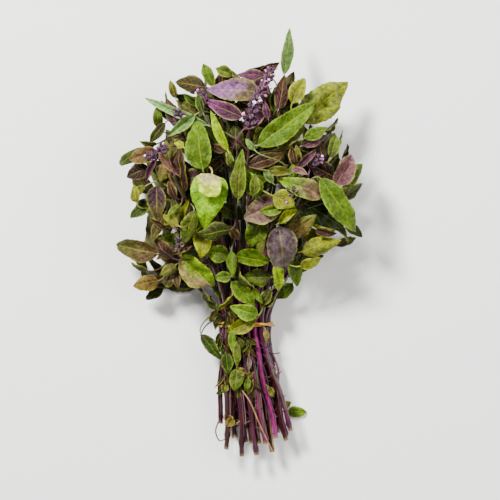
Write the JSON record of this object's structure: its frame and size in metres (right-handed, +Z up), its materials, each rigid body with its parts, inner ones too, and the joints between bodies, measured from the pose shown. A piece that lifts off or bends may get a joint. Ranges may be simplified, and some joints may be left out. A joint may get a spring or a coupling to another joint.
{
  "type": "basil bunch",
  "caption": "Bunch of purple-stemmed basil lying down: stems held in a bundle by a rubber band, spreading into a crown of leaves with flower spikes.",
  "frame": {"origin": "on the surface, under the middle of the tie, on the underside of the rubber band", "axes": "+Y along the bunch from the cut ends to the crown, +Z up off the surface it lies on, +X to the right seen from above with the crown away"},
  "size_m": [0.1736, 0.3018, 0.0861],
  "materials": {
    "leafy_stem": "fresh basil leaves, satin, green with purple, on dark purple stems",
    "flower_spike": "matte mauve calyxes on a purple axis",
    "dry_spike": "matte brown dried calyxes",
    "rubber_band": "satin golden-tan rubber"
  },
  "bodies": {
    "root": {"leafy_stem_01": "leafy_stem", "leafy_stem_02": "leafy_stem", "leafy_stem_03": "leafy_stem", "leafy_stem_04": "leafy_stem", "leafy_stem_05": "leafy_stem", "leafy_stem_06": "leafy_stem", "leafy_stem_07": "leafy_stem", "leafy_stem_08": "leafy_stem", "leafy_stem_09": "leafy_stem", "leafy_stem_10": "leafy_stem", "leafy_stem_11": "leafy_stem", "leafy_stem_12": "leafy_stem", "leafy_stem_13": "leafy_stem", "leafy_stem_14": "leafy_stem", "leafy_stem_15": "leafy_stem", "leafy_stem_16": "leafy_stem", "leafy_stem_17": "leafy_stem", "leafy_stem_18": "leafy_stem", "leafy_stem_19": "leafy_stem", "leafy_stem_20": "leafy_stem", "leafy_stem_21": "leafy_stem", "leafy_stem_22": "leafy_stem", "leafy_stem_23": "leafy_stem", "leafy_stem_24": "leafy_stem", "leafy_stem_25": "leafy_stem", "leafy_stem_26": "leafy_stem", "leafy_stem_27": "leafy_stem", "leafy_stem_28": "leafy_stem", "leafy_stem_29": "leafy_stem", "leafy_stem_30": "leafy_stem", "leafy_stem_31": "leafy_stem", "leafy_stem_32": "leafy_stem", "leafy_stem_33": "leafy_stem", "leafy_stem_34": "leafy_stem", "flower_spike": "flower_spike", "dry_spike": "dry_spike", "rubber_band": "rubber_band"}
  },
  "joints": []
}
